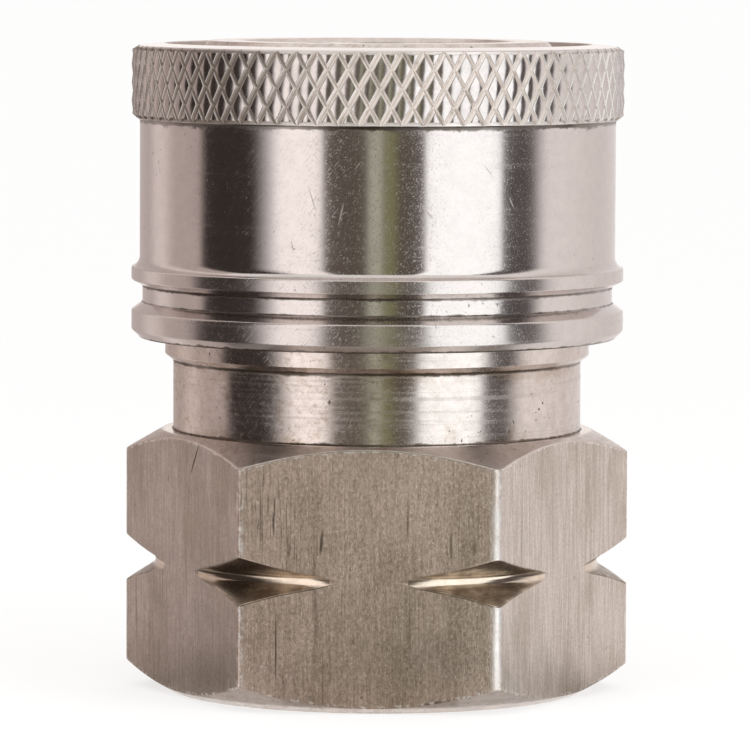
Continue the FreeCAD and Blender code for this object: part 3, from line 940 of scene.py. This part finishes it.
class BuildBody(bpy.types.Operator):
    """Builds the body: hexagon with its marking groove, neck, collar, barrel, bores and thread"""

    bl_idname = "coupling.build_body"
    bl_label = "Body"

    def execute(self, context):
        size, finish = settings("body"), settings("finish")
        rows = softened(body_corners(0.0, size))
        bm = bmesh.new()
        row_of = bm.verts.layers.int.new("row")
        wire = wire_of(bm, [(1.0, float(n)) for n in range(len(rows))], closed=True)
        for n, vert in enumerate(wire[: len(rows)]):
            vert[row_of] = n
        spin(bm, wire, math.tau, BODY_COLUMNS, use_merge=True)
        outlines = {}
        for vert in bm.verts:
            turn = math.atan2(vert.co.y, vert.co.x) / math.tau
            column = round(turn * BODY_COLUMNS) % BODY_COLUMNS
            theta = spread(math.tau * column / BODY_COLUMNS)
            if column not in outlines:
                outlines[column] = softened(body_corners(theta, size))
            radius, height, _ = outlines[column][vert[row_of]]
            vert.co = (radius * math.cos(theta), radius * math.sin(theta), height)
        last = len(rows) - 1
        for face in bm.faces:
            numbers = sorted({vert[row_of] for vert in face.verts})
            kind = rows[last if numbers == [0, last] else numbers[0]][2]
            middle = face.calc_center_median()
            flat = hexagon_reach(math.atan2(middle.y, middle.x), size) <= size.mark_root
            face.material_index = DRAWN if kind == MARK and flat else kind
        bm.verts.layers.int.remove(row_of)
        # Rings of soiling and painted shade where the neck meets the hexagon and the collar
        creases = [
            (size.neck_radius, size.hex_height, 0.03 * MM, 0.10 * MM),
            (size.neck_radius, size.neck_top, 0.05 * MM, 0.13 * MM),
        ]
        materials = [
            turned_steel(finish.turned, finish.grime_and_shade, "turned_body_steel", creases),
            drawn_steel(finish.drawn, finish.grime_and_shade, size),
            groove_steel(GROOVE_COLOUR, size),
            plain_steel("bore_steel", finish.turned, (0.24, 0.36)),
        ]
        bm = cut_away(bm, ball_hole_cutter(size), materials)
        finished("body_turned_and_tapped", bm, materials, "socket", "socket_body")
        return {"FINISHED"}


# Sleeve


KNURLED, INSIDE = 1, 2
INSIDE_MARGIN = 0.05 * MM
COVE_STEPS = 8
# Rows of diamonds, counted from the middle of the band
KNURL_ROWS = range(-2, 3)
# Edges above this share of the depth whose faces meet at more than this angle are broken
BROKEN_ABOVE = 0.6
BROKEN_ANGLE = 0.45


def sleeve_outline(size, knurl):
    """The sleeve's outline under the knurl's diamonds, and the corners whose edges are broken."""
    root = knurl.radius - knurl.depth
    rise = (knurl.full_bottom - knurl.bottom) * (root - knurl.foot) / (knurl.radius - knurl.foot)
    fall = (knurl.top - knurl.full_top) * knurl.depth / (knurl.radius - size.barrel_radius)
    ridges = [
        (size.ridge_radius - size.bottom_chamfer, size.bottom),
        (size.ridge_radius, size.bottom + size.bottom_chamfer),
        (size.ridge_radius, size.lower_ridge_top),
        (size.groove_radius, size.groove_bottom),
        (size.groove_radius, size.groove_top),
        (size.ridge_radius, size.upper_ridge_bottom),
        (size.ridge_radius, size.upper_ridge_top),
    ]
    cove = size.cove_radius
    cove_x = size.barrel_radius + cove
    sweep = math.acos((cove_x - size.ridge_radius) / cove)
    cove_z = size.upper_ridge_top + cove * math.sin(sweep)
    turns = [sweep * (1 - step / COVE_STEPS) for step in range(1, COVE_STEPS + 1)]
    hollow = [(cove_x - cove * math.cos(turn), cove_z - cove * math.sin(turn)) for turn in turns]
    knurled = [
        (size.barrel_radius, knurl.bottom),
        (knurl.foot, knurl.bottom),
        (root, knurl.bottom + rise),
        (root, knurl.full_top + fall),
    ]
    front = [(size.barrel_radius, knurl.top), (size.front_bore, size.front)]
    inside = [
        (size.front_bore, size.shoulder),
        (size.recess_radius, size.shoulder),
        (size.recess_radius, size.recess_bottom),
        (size.land_radius, size.land_top),
        (size.land_radius, size.land_bottom),
        (size.chamber_radius, size.land_bottom),
        (size.chamber_radius, size.bottom),
    ]
    return ridges + hollow + knurled + front + inside, ridges + front


def highest_face(bm):
    return max(bm.faces, key=lambda face: face.calc_center_median().z)


def flat_diamond(knurl, half_width, half_height, middle):
    """One diamond on the flat, Z up from the grooves' root, cut to the band's chamfers."""
    cell = bmesh.new()
    base = bmesh.ops.create_circle(cell, segments=4, radius=1.0, cap_ends=True)["verts"]
    for vert in base:
        across, up = round(vert.co.x), round(vert.co.y)
        vert.co = (across * half_width, up * half_height, -knurl.depth / 3)
    for level in (0.0, knurl.depth - knurl.crown):
        face = highest_face(cell)
        lifted = bmesh.ops.extrude_face_region(cell, geom=[face])["geom"]
        bmesh.ops.delete(cell, geom=[face], context="FACES_ONLY")
        right = 1 - level / knurl.depth * knurl.right_width / (2 * half_width)
        left = 1 - level / knurl.depth * knurl.left_width / (2 * half_width)
        for vert in (v for v in lifted if isinstance(v, bmesh.types.BMVert)):
            across, up = vert.co.x / half_width, vert.co.y / half_height
            along = round(across + up) * left / 2
            against = round(across - up) * right / 2
            vert.co = ((along + against) * half_width, (along - against) * half_height, level)
    bmesh.ops.poke(cell, faces=[highest_face(cell)], offset=knurl.crown)
    band = knurl.radius - knurl.foot
    for edge, end, sign in ((knurl.full_bottom, knurl.bottom, -1), (knurl.full_top, knurl.top, 1)):
        cut = bmesh.ops.bisect_plane(
            cell,
            geom=whole(cell),
            dist=CUT_TOLERANCE,
            plane_co=(0, edge - middle, knurl.depth),
            plane_no=(0, sign, abs(end - edge) / band),
            clear_outer=True,
        )["geom_cut"]
        loop = [item for item in cut if isinstance(item, bmesh.types.BMEdge)]
        if loop:
            bmesh.ops.holes_fill(cell, edges=loop, sides=0)
    return cell


def knurl_row(bm, row, knurl):
    """One row of diamonds: a single one is rounded, bent to the band and repeated around it."""
    half_width = math.pi * knurl.radius / knurl.columns
    half_height = half_width / math.tan(knurl.slope)
    middle = (knurl.bottom + knurl.top) / 2 + row * half_height
    cell = flat_diamond(knurl, half_width, half_height, middle)
    if not cell.faces:
        cell.free()
        return
    bmesh.ops.recalc_face_normals(cell, faces=cell.faces)
    low = BROKEN_ABOVE * knurl.depth
    upper = [edge for edge in cell.edges if max(v.co.z for v in edge.verts) > low]
    break_edges(cell, sharp_edges(upper, BROKEN_ANGLE), knurl.edge_break, segments=2)
    shift = (row + 1) % 2 * half_width
    for vert in cell.verts:
        turn = (vert.co.x + shift) / knurl.radius
        radius = knurl.radius - knurl.depth + vert.co.z
        vert.co = (radius * math.cos(turn), radius * math.sin(turn), vert.co.y + middle)
    repeat_around(cell, knurl.columns)
    for face in cell.faces:
        face.material_index = KNURLED
    mesh = bpy.data.meshes.new("knurl_row")
    cell.to_mesh(mesh)
    cell.free()
    bm.from_mesh(mesh)
    bpy.data.meshes.remove(mesh)


class BuildSleeve(bpy.types.Operator):
    """Builds the locking sleeve with its ridges, barrel and diamond knurl"""

    bl_idname = "coupling.build_sleeve"
    bl_label = "Locking sleeve"

    def execute(self, context):
        size, knurl, finish = settings("sleeve"), settings("knurl"), settings("finish")
        outline, broken = sleeve_outline(size, knurl)
        bm = bmesh.new()
        spin(bm, wire_of(bm, outline, closed=True), math.tau, size.steps, use_merge=True)
        bmesh.ops.remove_doubles(bm, verts=bm.verts, dist=SAME_POINT)
        bmesh.ops.recalc_face_normals(bm, faces=bm.faces)
        break_edges(bm, rings_at(bm, broken), size.edge_break)
        for face in bm.faces:
            middle = face.calc_center_median()
            away = math.hypot(middle.x, middle.y)
            if away < size.chamber_radius + INSIDE_MARGIN:
                face.material_index = INSIDE
            elif away > size.barrel_radius and knurl.full_bottom < middle.z < knurl.full_top:
                face.material_index = KNURLED
        for row in KNURL_ROWS:
            knurl_row(bm, row, knurl)
        # Rings of painted shadow under the bottom chamfer, in the groove's corners and at the
        # knurl's foot
        creases = [
            (size.ridge_radius - size.bottom_chamfer, size.bottom, 0.10 * MM, 0.14 * MM),
            (size.groove_radius, size.groove_bottom, 0.02 * MM, 0.08 * MM),
            (size.groove_radius, size.groove_top, 0.05 * MM, 0.11 * MM),
            (size.barrel_radius, knurl.bottom, 0.10 * MM, 0.16 * MM),
        ]
        materials = [
            polished_steel(finish.polished, finish.grime_and_shade, size, creases),
            knurled_steel(finish.polished, finish.grime_and_shade, knurl),
            plain_steel("sleeve_bore_steel", finish.turned, (0.40, 0.55)),
        ]
        finished("sleeve_knurled", bm, materials, "sleeve", "locking_sleeve")
        return {"FINISHED"}


# Small pieces


RING_STEPS = 160
RING_BROKEN_ANGLE = 1.0
WIRE_SIDES = 16
STEPS_PER_TURN = 64


class BuildRing(bpy.types.Operator):
    """Builds the retaining ring with its gap"""

    bl_idname = "coupling.build_ring"
    bl_label = "Retaining ring"

    def execute(self, context):
        size, finish = settings("ring"), settings("finish")
        bm = bmesh.new()
        corners = [
            (size.inner, size.bottom),
            (size.outer, size.bottom),
            (size.outer, size.top),
            (size.inner, size.top),
        ]
        bm.faces.new([bm.verts.new((radius, 0.0, height)) for radius, height in corners])
        spin(bm, whole(bm), math.tau - size.gap, RING_STEPS)
        bmesh.ops.recalc_face_normals(bm, faces=bm.faces)
        break_edges(bm, sharp_edges(bm.edges, RING_BROKEN_ANGLE), size.edge_break)
        material = plain_steel("ring_spring_steel", finish.ring, (0.28, 0.42))
        finished("ring_with_gap", bm, [material], "socket", "retaining_ring")
        return {"FINISHED"}


class BuildSpring(bpy.types.Operator):
    """Builds the sleeve's spring of round wire"""

    bl_idname = "coupling.build_spring"
    bl_label = "Spring"

    def execute(self, context):
        size, finish = settings("spring"), settings("finish")
        bm = bmesh.new()
        start = Matrix.Translation((size.mean_radius, 0, size.bottom + size.wire_radius))
        bmesh.ops.create_circle(
            bm,
            cap_ends=True,
            segments=WIRE_SIDES,
            radius=size.wire_radius,
            matrix=start @ Matrix.Rotation(math.pi / 2, 4, "X"),
        )
        steps = round(STEPS_PER_TURN * size.turns)
        free = size.top - size.bottom
        rise = (free - 2 * size.wire_radius) / steps
        spin(bm, whole(bm), math.tau * size.turns, steps, dvec=(0, 0, rise))
        material = plain_steel("spring_wire_steel", finish.wire, (0.25, 0.4))
        piece = finished("spring_coil", bm, [material], "spring", "sleeve_spring")
        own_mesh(piece)
        return {"FINISHED"}


class DressSmallParts(bpy.types.Operator):
    """Gives the balls and the seal their finishes"""

    bl_idname = "coupling.dress_small_parts"
    bl_label = "Balls and seal"

    def execute(self, context):
        finish = settings("finish")
        ball_steel = plain_steel("ball_polished_steel", finish.ball, (0.06, 0.14))
        rubber = seal_rubber(finish.rubber)
        for name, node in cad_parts.items():
            if name.startswith("locking_ball"):
                dressed = ball_steel
            elif name == "seal_ring":
                dressed = rubber
            else:
                continue
            for slot in node.material_slots:
                slot.material = dressed
        return {"FINISHED"}


# Stage


# What reflections see around the part: middle, half width and soft edge in degrees to the right of
# the camera, and brightness
PANELS = (
    (142.0, 8.0, 46.0, (0.84, 0.79, 0.78)),  # right wall
    (-134.0, 46.0, 4.0, (0.58, 0.50, 0.48)),  # left wall
    (-124.0, 2.0, 14.0, (0.86, 0.77, 0.75)),  # left window
    (-68.0, 18.0, 6.0, (0.045, 0.036, 0.033)),  # left black
    (-35.0, 5.0, 20.0, (1.38, 1.33, 1.33)),  # left lamp
    (64.0, 9.0, 12.0, (0.10, 0.09, 0.092)),  # right black
    (-1.5, 22.0, 2.5, (0.125, 0.105, 0.088)),  # front dark
    (-1.0, 2.0, 2.8, (0.55, 0.56, 0.47)),  # front pale
    (5.6, 1.4, 2.6, (0.25, 0.25, 0.125)),  # front green
    (40.0, 17.8, 1.2, (1.53, 1.60, 1.64)),  # right lamp
    (180.0, 9.0, 9.0, (1.12, 1.06, 1.03)),  # back wall
    (-180.0, 9.0, 9.0, (1.12, 1.06, 1.03)),  # back wall left
)
BETWEEN_PANELS = (1.02, 0.985, 0.98)
# Painted shade on the floor next to the part, as reflections see it
BESIDE_PART = (0.44, 0.40, 0.37)
ROOM_COLOUR = (1.0, 0.985, 0.975)
# The room's light on the part; where it is seen it is white
ROOM_LIGHT = 0.75
# The part of the seen floor that takes light and shadow, and the glow that lifts it to white
FLOOR_PAINT, FLOOR_GLOW = 0.55, 0.66
LAMPS = (
    # name, middle and width in degrees, radiance, colour
    ("lamp_left", -38.0, 27.0, 1.3, (1.0, 0.965, 0.94)),
    ("lamp_right", 40.0, 38.0, 1.5, (1.0, 0.99, 0.985)),
)
FLOOR_RADIUS, FLOOR_SIDES = 12.0, 96
SURROUND_STEPS = 120
CARD_LIFT = 0.2 * MM


def direction(stage, degrees):
    """A unit vector on the floor, in degrees to the right of the camera as seen from the object."""
    turn = -math.pi / 2 + stage.azimuth + math.radians(degrees)
    return Vector((math.cos(turn), math.sin(turn), 0.0))


def make_world():
    world = bpy.data.worlds.new("white_room")
    nodes = Nodes(world)
    strength = nodes.ramp(nodes.seen_directly(), 0.0, 1.0, ROOM_LIGHT, 1.0)
    back = nodes.add("Background", {"Color": tint(ROOM_COLOUR), "Strength": strength})
    nodes.add("OutputWorld", {"Surface": back})
    bpy.context.scene.world = world


def floor_material(rgb):
    """A pale floor that shows white under even light and keeps the object's shadow."""
    material = bpy.data.materials.new("pale_floor")
    nodes = Nodes(material)
    paint = nodes.add("BsdfDiffuse", {"Color": tint(rgb, FLOOR_PAINT)})
    lift = nodes.add("Emission", {"Color": (1, 1, 1, 1), "Strength": FLOOR_GLOW})
    bright = nodes.add("AddShader", {0: paint, 1: lift})
    plain = nodes.add("BsdfDiffuse", {"Color": tint(rgb)})
    both = nodes.add("MixShader", {0: nodes.seen_directly(), 1: plain, 2: bright})
    nodes.add("OutputMaterial", {"Surface": both})
    return material


def stage_piece(name, bm, material):
    piece = linked(name, bm, [material])
    return piece


def make_floor(stage):
    bm = bmesh.new()
    bmesh.ops.create_circle(bm, cap_ends=True, segments=FLOOR_SIDES, radius=FLOOR_RADIUS)
    stage_piece("floor", bm, floor_material(stage.floor_colour))


def surround_material(stage):
    """The dark, grey and bright panels that stand around the part, and a plain tone beside it,
    darkest next to the part, which is painted shade on the floor as reflections see it.
    """
    material = bpy.data.materials.new("studio_panels")
    nodes = Nodes(material)
    to_camera = (0.0, 0.0, math.pi / 2 - stage.azimuth)
    turned = nodes.add("Mapping", {"Vector": nodes.vector, "Rotation": to_camera})
    split = nodes.add("SeparateXYZ", {"Vector": turned}).outputs
    degrees = nodes.maths("DEGREES", nodes.maths("ARCTAN2", split["Y"], split["X"]))
    shown = tint(BETWEEN_PANELS)
    for middle, half_width, soft, rgb in PANELS:
        shown = nodes.mixed(nodes.band(degrees, middle, half_width, soft), shown, tint(rgb))
    # Painted shade: the cards darken towards the part
    near = nodes.ramp(nodes.radius(), stage.card_radius, 2 * stage.card_radius, 0.9, 0.0)
    shown = nodes.mixed(near, shown, tint(BESIDE_PART))
    glow = nodes.add("Emission", {"Color": shown, "Strength": 1.0})
    nodes.add("OutputMaterial", {"Surface": glow})
    return material


def make_surround(stage):
    """A round wall of panels that only reflections see."""
    bm = bmesh.new()
    reach = stage.screen_radius
    outline = [(stage.card_radius, CARD_LIFT), (reach, CARD_LIFT), (reach, stage.screen_height)]
    spin(bm, wire_of(bm, outline), math.tau, SURROUND_STEPS, use_merge=True)
    wall = stage_piece("studio_panels", bm, surround_material(stage))
    wall.visible_camera = False
    wall.visible_diffuse = False
    wall.visible_shadow = False


def make_lamp(stage, name, middle, width, radiance, rgb):
    """A soft upright lamp in front of its panel."""
    data = bpy.data.lights.new(name, "AREA")
    data.shape = "RECTANGLE"
    data.size = 2 * stage.screen_radius * math.tan(math.radians(width) / 2)
    data.size_y = stage.screen_height
    data.energy = radiance * math.pi * data.size * data.size_y
    data.color = rgb
    lamp = bpy.data.objects.new(name, data)
    bpy.context.scene.collection.objects.link(lamp)
    out = direction(stage, middle)
    lamp.location = out * stage.screen_radius + Vector((0, 0, stage.screen_height / 2))
    lamp.rotation_euler = out.to_track_quat("Z", "Y").to_euler()
    lamp.visible_camera = False
    lamp.visible_glossy = False


def make_camera(stage):
    data = bpy.data.cameras.new("photo_camera")
    data.sensor_width = 36.0
    data.lens = stage.lens
    data.clip_start = 0.01
    data.clip_end = 50.0
    camera = bpy.data.objects.new("photo_camera", data)
    bpy.context.scene.collection.objects.link(camera)
    camera.location = direction(stage, 0.0) * stage.distance + Vector((0, 0, stage.height))
    look = (Vector(stage.aim) - camera.location).to_track_quat("-Z", "Y")
    camera.rotation_euler = (look.to_matrix() @ Matrix.Rotation(stage.roll, 3, "Z")).to_euler()
    bpy.context.scene.camera = camera


class BuildStage(bpy.types.Operator):
    """Sets up the floor, the lamps, the screens and the camera"""

    bl_idname = "coupling.build_stage"
    bl_label = "Stage"

    def execute(self, context):
        stage = settings("stage")
        context.scene.view_settings.view_transform = "Standard"
        make_world()
        make_floor(stage)
        make_surround(stage)
        for lamp in LAMPS:
            make_lamp(stage, *lamp)
        make_camera(stage)
        return {"FINISHED"}


class CouplingPanel(bpy.types.Panel):
    """Lists the coupling's pieces"""

    bl_idname = "VIEW3D_PT_coupling"
    bl_label = "Quick coupling socket"
    bl_space_type = "VIEW_3D"
    bl_region_type = "UI"
    bl_category = "Coupling"

    def draw(self, context):
        for operator in PIECES:
            self.layout.operator(operator.bl_idname)
        for group in GROUPS:
            box = self.layout.box()
            box.label(text=group.capitalize())
            sizes = settings(group)
            for name in sizes.bl_rna.properties.keys():
                if name not in ("rna_type", "name"):
                    box.prop(sizes, name)


GROUPS = {
    "body": BodySizes,
    "sleeve": SleeveSizes,
    "knurl": KnurlSizes,
    "ring": RingSizes,
    "spring": SpringSizes,
    "finish": Finishes,
    "stage": StageSettings,
}
PIECES = (BuildBody, BuildSleeve, BuildRing, BuildSpring, DressSmallParts, BuildStage)


def register():
    for group, kind in GROUPS.items():
        bpy.utils.register_class(kind)
        setattr(bpy.types.Scene, f"coupling_{group}", PointerProperty(type=kind))
    for kind in PIECES:
        bpy.utils.register_class(kind)
    bpy.utils.register_class(CouplingPanel)


def unregister():
    bpy.utils.unregister_class(CouplingPanel)
    for kind in reversed(PIECES):
        bpy.utils.unregister_class(kind)
    for group, kind in reversed(GROUPS.items()):
        delattr(bpy.types.Scene, f"coupling_{group}")
        bpy.utils.unregister_class(kind)


def main():
    register()
    bpy.ops.coupling.build_body()
    bpy.ops.coupling.build_sleeve()
    bpy.ops.coupling.build_ring()
    bpy.ops.coupling.build_spring()
    bpy.ops.coupling.dress_small_parts()
    bpy.ops.coupling.build_stage()


if __name__ == "__main__":
    main()
